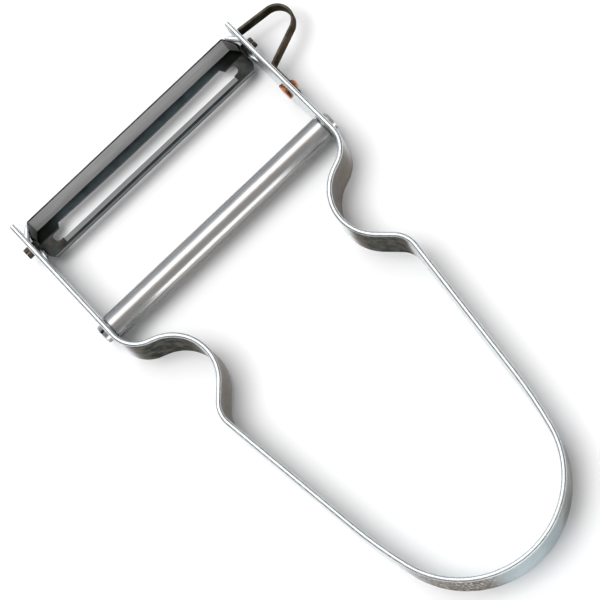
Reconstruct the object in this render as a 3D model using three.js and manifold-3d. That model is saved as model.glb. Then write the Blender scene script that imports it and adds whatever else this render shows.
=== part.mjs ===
// A swivel vegetable peeler: a bowed aluminium strip for a handle, with a stamped steel blade that
// swivels between its arms, a tubular crossbar behind the blade and an eye remover on one arm.
// Millimetres, +Z up. The peeler lies on the lower edge of its strip (z = 0); y = 0 and x = 0 are the
// middle of the strip at the bow's far end, +Y points to the blade and +X to the eye remover's arm.
import * as THREE from "three";
import { mergeVertices } from "three/addons/utils/BufferGeometryUtils.js";
import Module from "manifold-3d";

// Handle strip: its section, then its bends from the bow's end to the tip of an arm.
const STRIP_HEIGHT = 10;
const STRIP_THICKNESS = 1;
const BOW_RADIUS = 17.6;
const BOW_HEADING = 75.5;
const SHOULDER_RADIUS = 87.8;
const LEG_HEADING = 83.2;
const LEG_LENGTH = 28.9;
const HIP_RADIUS = 5.2;
const HIP_HEADING = 133.5;
const HIP_RUN = 3.3;
const RECESS_RADIUS = 8.9;
const RECESS_HEADING = 21.4;
const RECESS_RUN = 1.1;
const KNEE_RADIUS = 5.9;
const ARM_HEADING = 90;
const ARM_LENGTH = 29.2;

// Stop tabs lanced out of the arms: the front pair ahead of the pivot, the rear pair behind it.
const FRONT_TAB = { rootFromTip: 4.4, length: 3.4, leanAngle: 42, bottom: 8.1, height: 1.3 };
const REAR_TAB = { rootFromTip: 9.2, length: 2.8, leanAngle: 17, bottom: 4.2, height: 2 };
const LANCE_GAP = 0.15;

// Blade: a stamped tray of thin steel with a wall along its front, ears at its ends and a long slot.
const PIVOT_FROM_TIP = 4.3;
const PIVOT_HEIGHT = 5;
const BLADE_THICKNESS = 0.6;
const FOLD_AHEAD = 2.8;
const FOLD_BELOW = 2;
const FOLD_LIP = 0.2;
const WALL_HEIGHT = 3.3;
const WALL_LEAN = 22;
const WEB_WIDTH = 6.75;
const WEB_RISE = 6;
const EAR_STRAIGHT = 0.9;
const EAR_SPLAY_ANGLE = 42;
const EAR_RADIUS = 1.5;
const EAR_ANGLES = [20, 40, 60];
const EAR_BEND_RADIUS = 1.2;
const CORNER_RADIUS = 0.5;
const REAR_CORNER = { inset: 1.1, depth: 1.6 };
const FRONT_BAR = 1.75;
const LIP_BOW = 0.35;
const LIP_HALF_LENGTH = 20.4;
const LIP_RUNOUT = 0.6;
const SLOT_WIDTH = 2.9;
const LOBE_HALF_LENGTH = 23.05;
const LOBE_STEP = 0.75;
const LOBE_RADIUS = 0.95;
const BEVEL_WIDTH = 1.2;
const BEVEL_HALF_LENGTH = 21.6;
const EDGE_LAND = 0.12;
const TONGUE_WIDTH = 2.2;
const TONGUE_PROUD = 1.2;
const TONGUE_SPLIT = { width: 0.45, depth: 0.9 };

// Crossbar: a rolled tube, drawn down at its ends, which pass through the arms and are spread there.
const BAR_FROM_TIP = 26.2;
const BAR_HEIGHT = 5;
const BAR_DIAMETER = 5;
const BAR_WALL = 0.6;
const NECK_DIAMETER = 3.7;
const NECK_PROUD = 1;
const NECK_ROUND = 0.4;
const SEAM_WIDTH = 0.25;
const SEAM_ANGLE = 128;
const NECK_SPLIT = 0.6;

// Eye remover: a loop of flat steel on the outside of the right arm, held by a tenon and a rivet.
const EYE_THICKNESS = 0.6;
const EYE_HEIGHT = 2.3;
const EYE_FROM_TIP = 1;
const EYE_LEG_HEADING = -6.5;
const EYE_LEG = 6.6;
const EYE_TIP_RADIUS = 3.1;
const EYE_RETURN_HEADING = -158;
const EYE_FOOT_RADIUS = 1;
const EYE_FLANGE = 6.8;
const TENON_HEIGHT = 1.4;

// Rivet: copper, flat inside the arm and domed outside.
const RIVET_FROM_TIP = 16;
const RIVET_SHANK = 1.6;
const RIVET_HEAD = { diameter: 3.3, height: 0.85 };
const RIVET_DOME = { diameter: 2.3, height: 0.75 };

// Fits: how far moving pieces and seated pieces stay clear of what carries them.
const RUNNING_CLEARANCE = 0.3;
const SEAT_CLEARANCE = 0.1;

// Facets of the round stretches, and how far a cut or a joined root runs past the face it meets.
const ARC_STEP = 7;
const ROUND_SIDES = 32;
const LOBE_FACETS = 6;
const OVERRUN = 0.3;
const WELD_DISTANCE = 1e-4;

const wasm = await Module();
wasm.setup();
const radians = THREE.MathUtils.degToRad;

// Geometry with its positions alone, shared where corners meet.
function welded(geometry) {
  const bare = geometry.clone();
  bare.deleteAttribute("normal");
  bare.deleteAttribute("uv");
  return mergeVertices(bare, WELD_DISTANCE);
}

// Closed geometry to a solid, and a solid back to geometry.
function solidOf(geometry) {
  const merged = welded(geometry);
  const vertProperties = new Float32Array(merged.attributes.position.array);
  const triVerts = new Uint32Array(merged.index.array);
  return new wasm.Manifold(new wasm.Mesh({ numProp: 3, vertProperties, triVerts }));
}

function geometryOf(solid) {
  const mesh = solid.getMesh();
  const geometry = new THREE.BufferGeometry();
  geometry.setAttribute("position", new THREE.BufferAttribute(mesh.vertProperties, 3));
  geometry.setIndex(new THREE.BufferAttribute(mesh.triVerts, 1));
  geometry.computeVertexNormals();
  return geometry;
}

const join = (solid, ...pieces) => pieces.reduce((whole, added) => whole.add(solidOf(added)), solid);
const cut = (solid, ...pieces) => pieces.reduce((whole, taken) => whole.subtract(solidOf(taken)), solid);

// Geometry on the right side and its mirror image on the left, with its faces still pointing out.
function bothSides(geometry) {
  const right = welded(geometry);
  const left = right.clone().scale(-1, 1, 1);
  left.setIndex([...left.index.array].reverse());
  return [right, left];
}

// A path drawn by its headings, as a strip is bent: straight runs and arcs, with a station at each facet.
class BentPath {
  constructor(x, y, heading) {
    this.stations = [{ x, y, heading: radians(heading) }];
  }
  get end() {
    return this.stations[this.stations.length - 1];
  }
  line(length) {
    const { x, y, heading } = this.end;
    this.stations.push({ x: x + length * Math.cos(heading), y: y + length * Math.sin(heading), heading });
    return this;
  }
  arc(radius, toHeading) {
    const { x, y, heading } = this.end;
    const turn = radians(toHeading) - heading;
    const side = Math.sign(turn);
    const centre = { x: x - side * radius * Math.sin(heading), y: y + side * radius * Math.cos(heading) };
    const steps = Math.max(2, Math.ceil(Math.abs(turn) / radians(ARC_STEP)));
    for (let k = 1; k <= steps; k++) {
      const h = heading + (turn * k) / steps;
      const px = centre.x + side * radius * Math.sin(h);
      const py = centre.y - side * radius * Math.cos(h);
      this.stations.push({ x: px, y: py, heading: h });
    }
    return this;
  }
}

// A station's point moved square to the path, to the left of the way it runs.
function beside({ x, y, heading }, distance) {
  return new THREE.Vector2(x - distance * Math.sin(heading), y + distance * Math.cos(heading));
}

// An outline pulled straight up.
function extruded(outline, depth) {
  return new THREE.ExtrudeGeometry(outline, { depth, bevelEnabled: false, curveSegments: LOBE_FACETS });
}

// A flat strip standing on edge along a path.
function standingStrip(stations, thickness, height) {
  const right = stations.map((s) => beside(s, -thickness / 2));
  const left = stations.map((s) => beside(s, thickness / 2)).reverse();
  return extruded(new THREE.Shape([...right, ...left]), height);
}

function mirrored(stations) {
  return stations.map(({ x, y, heading }) => ({ x: -x, y, heading: -heading })).reverse();
}

// A block between two corners, and a round bar or hole along X between two ends.
function block(low, high) {
  const size = high.map((v, i) => v - low[i]);
  const middle = high.map((v, i) => (v + low[i]) / 2);
  return new THREE.BoxGeometry(...size).translate(...middle);
}

function crosswiseRound(diameter, fromX, toX, y, z) {
  const bar = new THREE.CylinderGeometry(diameter / 2, diameter / 2, toX - fromX, ROUND_SIDES);
  return bar.rotateZ(-Math.PI / 2).translate((fromX + toX) / 2, y, z);
}

// A profile of [radius, x] pairs turned about the X axis.
function turned(profile) {
  const points = profile.map(([radius, along]) => new THREE.Vector2(radius, along));
  return new THREE.LatheGeometry(points, ROUND_SIDES).rotateZ(-Math.PI / 2);
}

// The right half of the handle, from the middle of the bow to the tip, and the places that follow from it.
const rightHalf = new BentPath(0, 0, 0)
  .arc(BOW_RADIUS, BOW_HEADING)
  .arc(SHOULDER_RADIUS, LEG_HEADING)
  .line(LEG_LENGTH)
  .arc(HIP_RADIUS, HIP_HEADING)
  .line(HIP_RUN)
  .arc(RECESS_RADIUS, RECESS_HEADING)
  .line(RECESS_RUN)
  .arc(KNEE_RADIUS, ARM_HEADING)
  .line(ARM_LENGTH);
const tipY = rightHalf.end.y;
const armInner = rightHalf.end.x - STRIP_THICKNESS / 2;
const armOuter = rightHalf.end.x + STRIP_THICKNESS / 2;
const pivotY = tipY - PIVOT_FROM_TIP;
const barY = tipY - BAR_FROM_TIP;
const rivetY = tipY - RIVET_FROM_TIP;
const eyeY = tipY - EYE_FROM_TIP;
const tongueHole = Math.hypot(TONGUE_WIDTH, BLADE_THICKNESS) + 2 * RUNNING_CLEARANCE;

// The window that a tab is lanced from, and the tab itself bent in from the window's rear edge.
function tabWindow(tab) {
  const root = tipY - tab.rootFromTip;
  const front = root + tab.length + LANCE_GAP;
  return block([armInner - OVERRUN, root, tab.bottom], [armOuter + OVERRUN, front, tab.bottom + tab.height]);
}

function stopTab(tab) {
  const root = tipY - tab.rootFromTip;
  const middle = (armInner + armOuter) / 2;
  const path = new BentPath(middle, root - OVERRUN, ARM_HEADING).line(OVERRUN);
  const leaning = new BentPath(middle, root, ARM_HEADING + tab.leanAngle).line(tab.length);
  const strip = standingStrip([...path.stations, ...leaning.stations], STRIP_THICKNESS, tab.height);
  return strip.translate(0, 0, tab.bottom);
}

function handleStrip() {
  const stations = [...mirrored(rightHalf.stations).slice(0, -1), ...rightHalf.stations];
  let strip = solidOf(standingStrip(stations, STRIP_THICKNESS, STRIP_HEIGHT));
  for (const tab of [FRONT_TAB, REAR_TAB]) {
    strip = join(cut(strip, ...bothSides(tabWindow(tab))), ...bothSides(stopTab(tab)));
  }
  const far = armOuter + OVERRUN;
  const neckHole = NECK_DIAMETER + 2 * SEAT_CLEARANCE;
  const rivetHole = RIVET_SHANK + 2 * SEAT_CLEARANCE;
  const tenonY = EYE_THICKNESS / 2 + SEAT_CLEARANCE;
  const tenonZ = TENON_HEIGHT / 2 + SEAT_CLEARANCE;
  return cut(
    strip,
    crosswiseRound(tongueHole, -far, far, pivotY, PIVOT_HEIGHT),
    crosswiseRound(neckHole, -far, far, barY, BAR_HEIGHT),
    crosswiseRound(rivetHole, 0, far, rivetY, PIVOT_HEIGHT),
    block([0, eyeY - tenonY, PIVOT_HEIGHT - tenonZ], [far, eyeY + tenonY, PIVOT_HEIGHT + tenonZ]),
  );
}

// Blade, with its pivot at the origin. The rim runs from an ear, round a corner and along the front.
const earX = armInner - RUNNING_CLEARANCE - BLADE_THICKNESS / 2;
const rise = Math.tan(radians(WEB_RISE));

// Stations of half the rim: back along the ear to its round end, and round the corner to the front.
function rimStations() {
  const bends = new BentPath(0, 0, 90)
    .arc(EAR_BEND_RADIUS, 90 + EAR_SPLAY_ANGLE)
    .arc(CORNER_RADIUS, 180);
  const slant = (FOLD_AHEAD - EAR_STRAIGHT - bends.end.y) / Math.cos(radians(EAR_SPLAY_ANGLE));
  const half = new BentPath(earX, 0, 90)
    .line(EAR_STRAIGHT)
    .arc(EAR_BEND_RADIUS, 90 + EAR_SPLAY_ANGLE)
    .line(slant)
    .arc(CORNER_RADIUS, 180).stations;
  const left = half.map(({ x, y, heading }) => ({ x: -x, y, heading: 2 * Math.PI - heading })).reverse();
  return [...half, ...left];
}

// One row of the rim's wall: its corners at a station, between two heights, moved forward at the top.
function rimRow(station, low, high, forward) {
  const outer = beside(station, -BLADE_THICKNESS / 2);
  const inner = beside(station, BLADE_THICKNESS / 2);
  return [
    [outer.x, outer.y, low],
    [inner.x, inner.y, low],
    [inner.x, inner.y + forward, high],
    [outer.x, outer.y + forward, high],
  ];
}

// The rim's wall leans forward along the front, is upright at the ears and ends round about the pivot.
function rimWall(stations) {
  const low = -FOLD_BELOW - BLADE_THICKNESS / 2 - FOLD_LIP;
  const high = WALL_HEIGHT - FOLD_BELOW;
  const lean = (high - low) * Math.tan(radians(WALL_LEAN));
  const rows = stations.map((station) => {
    const share = Math.max(0, (station.y - EAR_STRAIGHT) / (FOLD_AHEAD - EAR_STRAIGHT));
    return rimRow(station, low, high, lean * share);
  });
  const roundEnd = EAR_ANGLES.map((degrees) => {
    const y = -EAR_RADIUS * Math.cos(radians(degrees));
    const reach = EAR_RADIUS * Math.sin(radians(degrees));
    return [{ x: earX, y, heading: Math.PI / 2 }, reach];
  });
  const start = roundEnd.map(([station, reach]) => rimRow(station, -reach, reach, 0));
  const finish = roundEnd.map(([station, reach]) => {
    return rimRow({ ...station, x: -earX, heading: 1.5 * Math.PI }, -reach, reach, 0);
  });
  return loft([...start, ...rows, ...finish.reverse()]);
}

// A skin over rows of corners, closed at both ends. Each row goes round the section the same way.
function loft(rows) {
  const count = rows[0].length;
  const index = [];
  for (let i = 0; i + 1 < rows.length; i++) {
    for (let k = 0; k < count; k++) {
      const a = i * count + k;
      const b = i * count + ((k + 1) % count);
      index.push(a, b, a + count, b, b + count, a + count);
    }
  }
  const last = (rows.length - 1) * count;
  for (let k = 1; k + 1 < count; k++) {
    index.push(0, k + 1, k, last, last + k, last + k + 1);
  }
  const geometry = new THREE.BufferGeometry();
  geometry.setAttribute("position", new THREE.Float32BufferAttribute(rows.flat(2), 3));
  geometry.setIndex(index);
  return geometry;
}

// Lifts level geometry onto the web's slope, which rises from the fold to the rear.
function ontoWeb(geometry) {
  const position = geometry.attributes.position;
  for (let i = 0; i < position.count; i++) {
    const lift = (FOLD_AHEAD - position.getY(i)) * rise;
    position.setZ(i, position.getZ(i) + lift - FOLD_BELOW - BLADE_THICKNESS / 2);
  }
  return geometry;
}

const slotFront = FOLD_AHEAD - FRONT_BAR;
const slotRear = slotFront - SLOT_WIDTH;

// The slot's outline: a long opening with a bowed front lip, whose ends step back to narrower round lobes.
function slotOutline() {
  const lobeFront = slotFront - LOBE_STEP;
  const lobeX = LOBE_HALF_LENGTH - LOBE_RADIUS;
  const frontY = lobeFront - LOBE_RADIUS;
  const rearY = slotRear + LOBE_RADIUS;
  const quarter = Math.PI / 2;
  const slot = new THREE.Path();
  const lipEnd = slotFront + LIP_BOW;
  const toothX = LIP_HALF_LENGTH + LIP_RUNOUT;
  slot.moveTo(-LIP_HALF_LENGTH, lipEnd);
  slot.quadraticCurveTo(0, slotFront - LIP_BOW, LIP_HALF_LENGTH, lipEnd);
  slot.lineTo(toothX, lobeFront);
  slot.lineTo(lobeX, lobeFront);
  slot.absarc(lobeX, frontY, LOBE_RADIUS, quarter, 0, true);
  slot.absarc(lobeX, rearY, LOBE_RADIUS, 0, -quarter, true);
  slot.lineTo(-lobeX, slotRear);
  slot.absarc(-lobeX, rearY, LOBE_RADIUS, -quarter, -2 * quarter, true);
  slot.absarc(-lobeX, frontY, LOBE_RADIUS, 2 * quarter, quarter, true);
  slot.lineTo(-toothX, lobeFront);
  slot.closePath();
  return slot;
}

function bladeWeb(stations) {
  const rear = FOLD_AHEAD - WEB_WIDTH;
  const corners = [
    new THREE.Vector2(-earX, rear + REAR_CORNER.depth),
    new THREE.Vector2(REAR_CORNER.inset - earX, rear),
    new THREE.Vector2(earX - REAR_CORNER.inset, rear),
    new THREE.Vector2(earX, rear + REAR_CORNER.depth),
  ];
  const outline = new THREE.Shape([...stations.map((s) => new THREE.Vector2(s.x, s.y)), ...corners]);
  outline.holes.push(slotOutline());
  return ontoWeb(extruded(outline, BLADE_THICKNESS));
}

// The wedge ground off the top of the rear bar, which leaves its edge along the slot.
function edgeGrind() {
  const past = (OVERRUN * (BLADE_THICKNESS - EDGE_LAND)) / BEVEL_WIDTH;
  const section = new THREE.Shape([
    new THREE.Vector2(slotRear + OVERRUN, EDGE_LAND - past),
    new THREE.Vector2(slotRear + OVERRUN, BLADE_THICKNESS + past),
    new THREE.Vector2(slotRear - BEVEL_WIDTH - OVERRUN, BLADE_THICKNESS + past),
  ]);
  const wedge = extruded(section, 2 * BEVEL_HALF_LENGTH);
  const turn = new THREE.Matrix4().makeBasis(
    new THREE.Vector3(0, 1, 0),
    new THREE.Vector3(0, 0, 1),
    new THREE.Vector3(1, 0, 0),
  );
  return ontoWeb(wedge.applyMatrix4(turn).translate(-BEVEL_HALF_LENGTH, 0, 0));
}

// The blade's rim and web, and the tongues that pivot in the arms and are split at the tip.
function swivelBlade() {
  const half = BLADE_THICKNESS / 2;
  const tip = armOuter + TONGUE_PROUD;
  const splitFrom = tip - TONGUE_SPLIT.depth;
  const splitHalf = TONGUE_SPLIT.width / 2;
  const tongue = block([earX, -TONGUE_WIDTH / 2, -half], [tip, TONGUE_WIDTH / 2, half]);
  const split = block([splitFrom, -splitHalf, -half - OVERRUN], [tip + OVERRUN, splitHalf, half + OVERRUN]);
  const stations = rimStations();
  const tray = cut(join(solidOf(rimWall(stations)), bladeWeb(stations)), edgeGrind());
  return cut(join(tray, ...bothSides(tongue)), ...bothSides(split));
}

// The crossbar about its own axis: body, shoulders against the arms, necks through them, and the seam.
function crossbar() {
  const shoulder = armInner - SEAT_CLEARANCE;
  const tip = armOuter + NECK_PROUD;
  const body = BAR_DIAMETER / 2;
  const neck = NECK_DIAMETER / 2;
  const bore = neck - BAR_WALL;
  const hollow = shoulder - BAR_WALL;
  const profile = [
    [bore, -tip],
    [neck - NECK_ROUND, -tip],
    [neck, NECK_ROUND - tip],
    [neck, -shoulder],
    [body, -shoulder],
    [body, shoulder],
    [neck, shoulder],
    [neck, tip - NECK_ROUND],
    [neck - NECK_ROUND, tip],
    [bore, tip],
    [bore, hollow],
    [body - BAR_WALL, hollow],
    [body - BAR_WALL, -hollow],
    [bore, -hollow],
    [bore, -tip],
  ];
  const slit = new THREE.BoxGeometry(2 * (tip + OVERRUN), BAR_DIAMETER, SEAM_WIDTH);
  const seam = slit.translate(0, BAR_DIAMETER / 2, 0).rotateX(radians(SEAM_ANGLE));
  const split = block([armOuter, -NECK_SPLIT / 2, 0], [tip + OVERRUN, NECK_SPLIT / 2, neck + OVERRUN]);
  return cut(solidOf(turned(profile)), seam, ...bothSides(split));
}

// The eye remover: out from the arm, round the tip of the loop, back to its foot and along the arm.
function eyeRemover() {
  const half = EYE_THICKNESS / 2;
  const flangeX = armOuter + SEAT_CLEARANCE + half;
  const path = new BentPath(flangeX, eyeY, EYE_LEG_HEADING)
    .line(EYE_LEG)
    .arc(EYE_TIP_RADIUS, EYE_RETURN_HEADING);
  const heading = radians(EYE_RETURN_HEADING);
  const footReach = EYE_FOOT_RADIUS * (1 + Math.sin(heading));
  const back = (path.end.x - flangeX - footReach) / -Math.cos(heading);
  path.line(back).arc(EYE_FOOT_RADIUS, -90).line(EYE_FLANGE);
  const low = PIVOT_HEIGHT - EYE_HEIGHT / 2;
  const loop = standingStrip(path.stations, EYE_THICKNESS, EYE_HEIGHT).translate(0, 0, low);
  const hole = RIVET_SHANK + 2 * SEAT_CLEARANCE;
  const tenon = block(
    [armInner, eyeY - half, PIVOT_HEIGHT - TENON_HEIGHT / 2],
    [flangeX + half, eyeY + half, PIVOT_HEIGHT + TENON_HEIGHT / 2],
  );
  const bore = crosswiseRound(hole, armInner, flangeX + half + OVERRUN, rivetY, PIVOT_HEIGHT);
  return cut(join(solidOf(loop), tenon), bore);
}

// The rivet about its own axis: flat head, shank and dome.
function rivet() {
  const inner = armInner - SEAT_CLEARANCE;
  const outer = armOuter + EYE_THICKNESS + 2 * SEAT_CLEARANCE;
  const dome = RIVET_DOME.diameter / 2;
  const domePoints = [0, 30, 60, 90].map((degrees) => [
    degrees === 90 ? 0 : dome * Math.cos(radians(degrees)),
    outer + RIVET_DOME.height * Math.sin(radians(degrees)),
  ]);
  return turned([
    [0, inner - RIVET_HEAD.height],
    [RIVET_HEAD.diameter / 2, inner - RIVET_HEAD.height],
    [RIVET_HEAD.diameter / 2, inner],
    [RIVET_SHANK / 2, inner],
    [RIVET_SHANK / 2, outer],
    ...domePoints,
  ]);
}

const aluminium = new THREE.MeshStandardMaterial({ color: 0xd9dde0, roughness: 0.32, metalness: 1 });
const bladeSteel = new THREE.MeshStandardMaterial({ color: 0x4a4d4d, roughness: 0.3, metalness: 1 });
const tubeSteel = new THREE.MeshStandardMaterial({ color: 0xb9b4b0, roughness: 0.25, metalness: 1 });
const loopSteel = new THREE.MeshStandardMaterial({ color: 0x4c4a45, roughness: 0.35, metalness: 1 });
const copper = new THREE.MeshStandardMaterial({ color: 0xb2602f, roughness: 0.3, metalness: 1 });

function piece(name, geometry, material, y = 0, z = 0) {
  const mesh = new THREE.Mesh(geometry, material);
  mesh.name = name;
  mesh.position.set(0, y, z);
  return mesh;
}

const peeler = new THREE.Group();
peeler.name = "vegetable_peeler";
peeler.add(
  piece("handle_strip", geometryOf(handleStrip()), aluminium),
  piece("swivel_blade", geometryOf(swivelBlade()), bladeSteel, pivotY, PIVOT_HEIGHT),
  piece("crossbar", geometryOf(crossbar()), tubeSteel, barY, BAR_HEIGHT),
  piece("eye_remover", geometryOf(eyeRemover()), loopSteel),
  piece("eye_remover_rivet", rivet(), copper, rivetY, PIVOT_HEIGHT),
);

export default peeler;
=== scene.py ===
import math

import bmesh
import bpy
from mathutils import Matrix, Vector


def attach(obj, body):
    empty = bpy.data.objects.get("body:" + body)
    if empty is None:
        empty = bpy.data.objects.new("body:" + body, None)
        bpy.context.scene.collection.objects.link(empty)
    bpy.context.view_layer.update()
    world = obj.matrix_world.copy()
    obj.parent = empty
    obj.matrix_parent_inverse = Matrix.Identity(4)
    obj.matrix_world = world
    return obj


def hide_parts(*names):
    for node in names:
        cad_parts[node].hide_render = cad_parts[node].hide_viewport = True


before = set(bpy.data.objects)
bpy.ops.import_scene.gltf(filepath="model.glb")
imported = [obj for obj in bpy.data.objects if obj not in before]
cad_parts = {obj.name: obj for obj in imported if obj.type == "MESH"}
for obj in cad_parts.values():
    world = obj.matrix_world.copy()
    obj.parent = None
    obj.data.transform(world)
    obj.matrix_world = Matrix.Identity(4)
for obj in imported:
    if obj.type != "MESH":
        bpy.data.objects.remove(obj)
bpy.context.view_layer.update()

# Sizes are in millimetres and degrees, and become metres where a mesh is made
MM = 0.001
ARC_STEP = 2.5
HOLE_SIDES = 48
CUT_MARGIN = 1
RUNNING_CLEARANCE = 0.3
FIT_CLEARANCE = 0.1

# The bent strip, from the middle of the bow to the tip of an arm
STRIP_HEIGHT = 10
STRIP_THICKNESS = 1
STRIP_EDGE_ROUND = 0.4
STRIP_TIP_EASE = 0.15
STRIP_STEP = 2
BOW_RADIUS = 17.6
BOW_HEADING = 75.5
SHOULDER_RADIUS = 87.8
LEG_HEADING = 83.2
LEG_LENGTH = 28.9
HIP_RADIUS = 5.2
HIP_HEADING = 133.5
HIP_RUN = 3.3
RECESS_RADIUS = 8.9
RECESS_HEADING = 21.4
RECESS_RUN = 1.1
KNEE_RADIUS = 5.9
ARM_HEADING = 90
ARM_LENGTH = 29.2

# The stop tabs that are lanced out of the arms
FRONT_TAB = {"root_from_tip": 4.4, "length": 3.4, "lean": 42, "bottom": 8.1, "height": 1.3}
REAR_TAB = {"root_from_tip": 9.2, "length": 2.8, "lean": 17, "bottom": 4.2, "height": 2}
LANCE_GAP = 0.15
TAB_BEND_RADIUS = 0.8
TAB_ROOT_OVERLAP = 0.3
TAB_ROOT_THICKNESS = 0.94
TAB_TIP_THICKNESS = 0.45
TAB_SIDE_GAP = 0.02
TAB_EDGE_ROUND = 0.2
TAB_STEP = 0.25

# The swivel blade, about its pivot
PIVOT_FROM_TIP = 4.3
PIVOT_HEIGHT = 5
BLADE_THICKNESS = 0.6
BLADE_EDGE_BEVEL = 0.06
FOLD_AHEAD = 2.8
FOLD_BELOW = 2
FOLD_ROUND = 0.4
FOLD_ROUND_INSET = 0.12
WALL_HEIGHT = 3.3
WALL_LEAN = 22
WALL_TOP_EASE = 0.05
WALL_TOP_LAND = 0.25
WALL_TOP_GRIND = 0.55
FULL_RIM_HEIGHT = 1.5
RIM_BELOW_WEB = 0.2
RIM_STEP = 0.3
EAR_SPLAY = 42
EAR_STRAIGHT = 0.9
EAR_RADIUS = 1.5
EAR_BEND_RADIUS = 1.2
EAR_END_ANGLES = range(10, 61, 10)
CORNER_RADIUS = 0.5
WEB_WIDTH = 6.75
WEB_RISE = 6
WEB_CUT_LEVELS = (-4, 2)
REAR_CORNER = {"inset": 1.1, "depth": 1.6}
REAR_EASE = 0.3
REAR_EASE_DROP = 0.6
FRONT_BAR = 1.75
SLOT_WIDTH = 2.9
LIP_BOW = 0.35
LIP_HALF_LENGTH = 20.4
LIP_HALF_STEPS = 12
LIP_RUNOUT = 0.6
LOBE_HALF_LENGTH = 23.05
LOBE_STEP = 0.75
LOBE_RADIUS = 0.95
LOBE_CORNER_STEPS = 6
BEVEL_WIDTH = 1.2
BEVEL_HALF_LENGTH = 21.6
EDGE_LAND = 0.12
WEDGE = {"before": 0.4, "after": 1.6, "height": 3}
TONGUE_WIDTH = 2.2
TONGUE_PROUD = 1.2
TONGUE_EDGE_ROUND = 0.15
TONGUE_TIP_LENGTH = 0.15
TONGUE_TIP_TAPER = 0.2
TONGUE_SPLIT = 0.3
TONGUE_SPLIT_DEPTH = 0.9

# How bright the blade's faces are ground, from 0 to 1, kept as an attribute of its mesh
GROUND_MARK = "ground"
WALL_GROUND = 1.0
BEVEL_GROUND = 0.62
REAR_GROUND = 0.45
EAR_GROUND = 0.56
EAR_SPLAY_X = 24
EAR_FOOT = -1
GROUND_MARGIN = 0.1

# The crossbar, with its rounded ends as (distance from the end, drop below the surface)
BAR_FROM_TIP = 26.2
BAR_HEIGHT = 5
BAR_DIAMETER = 5
BAR_WALL = 0.6
BAR_STEPS = 72
BAR_END_GAP = 0.1
BAR_END_LENGTH = 4
BAR_END_ROUND = ((0.35, 0), (0.1, 0.08), (0, 0.3))
NECK_DIAMETER = 3.7
NECK_PROUD = 1
NECK_END_ROUND = ((0.4, 0), (0.12, 0.12), (0, 0.4))
NECK_SPLIT = 0.6
NECK_SLIT_ROOT = 0.12
BORE_RADIUS = 0.9
SEAM_ANGLE = 128
SEAM_WIDTH = 0.25
SEAM_LIP = 0.12

# The eye remover and its rivet
EYE_THICKNESS = 0.6
EYE_HEIGHT = 2.6
EYE_EDGE_ROUND = 0.2
EYE_FROM_TIP = 1
EYE_STANDOFF = 0.4
EYE_STEP = 1
EYE_LEG_HEADING = -6.5
EYE_LEG = 6.6
EYE_TIP_RADIUS = 3.1
EYE_RETURN_HEADING = -158
EYE_FOOT_RADIUS = 1
EYE_FLANGE = 6.8
TENON_HEIGHT = 1.4
TENON_OVERLAP = 0.8
TENON_EASE = 0.05
RIVET_FROM_TIP = 16
RIVET_SHANK = 1.6
RIVET_SIDES = 40
RIVET_SEAT = 0.05
RIVET_EASE = 0.05
RIVET_POINT = 0.02
RIVET_HEAD = {"diameter": 3.3, "height": 0.55, "flat_share": 0.8, "steps": 3}
RIVET_HEAD_CHAMFER = {"depth": 0.03, "width": 0.12}
RIVET_HEAD_ROUND = {"depth": 0.05, "radius": 0.08}
RIVET_DOME = {"diameter": 2.0, "height": 0.65, "steps": 8}

# Shading
CREASE_ANGLE = 32
BEVEL_ANGLE = 40

# Where the finish and the painted shade change along an axis, as (from, to), and the directions of the
# faces that get painted reflections and shade
STRIP_RISE = (1.5, 8.5)
BOW_START = (16.5, 7)
WAIST_START = (50, 54.5)
WAIST_END = (78.5, 75)
WAIST_RISE = (0.5, 6.8)
UNSHADED_RIM_RISE = (2.1, 0.8)
UNSHADED_RIM_END = (67, 64)
BLADE_ENDS = (17.5, 23)
BLADE_REAR = (0.45, 0.15)
TONGUE_START = (27, 27.6)
LEFT_REAR = (-0.55, -0.835, 0)
RIGHT_REAR = (0.75, -0.65, 0)
BOW_LEFT = (-0.80, -0.60, 0)

# Colours of the aluminium, most of them as pairs that a pattern or the height mixes: clean metal, then
# painted reflections and shade in blue, grey, brown and black on the bow and the waists, pits, and painted
# glints
CLEAN = ((0.73, 0.765, 0.78), (0.67, 0.70, 0.71))
BLUE_REFLECTION = ((0.59, 0.715, 0.765), (0.43, 0.515, 0.54))
SHADED = ((0.46, 0.565, 0.605), (0.335, 0.405, 0.425))
PITS_IN_SHADE = ((0.085, 0.072, 0.061), (0.42, 0.38, 0.345))
GLINT = (0.92, 0.89, 0.86)
BOW_BROWN = ((0.41, 0.385, 0.36), (0.31, 0.297, 0.276))
DARK_REFLECTION = (0.17, 0.185, 0.18)
LOW_BROWN = ((0.25, 0.215, 0.18), (0.35, 0.305, 0.26))
HIGH_BROWN = ((0.125, 0.107, 0.09), (0.175, 0.152, 0.13))
BLACK_REFLECTION = ((0.042, 0.054, 0.050), (0.17, 0.152, 0.128))
# Grazing reflection: full on clean metal, dimmed under the painted shade and the painted black reflection
CLEAN_GRAZING = (1.0, 1.0, 1.0)
SHADED_GRAZING = (0.6, 0.58, 0.56)
BLACK_GRAZING = (0.46, 0.47, 0.46)

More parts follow.
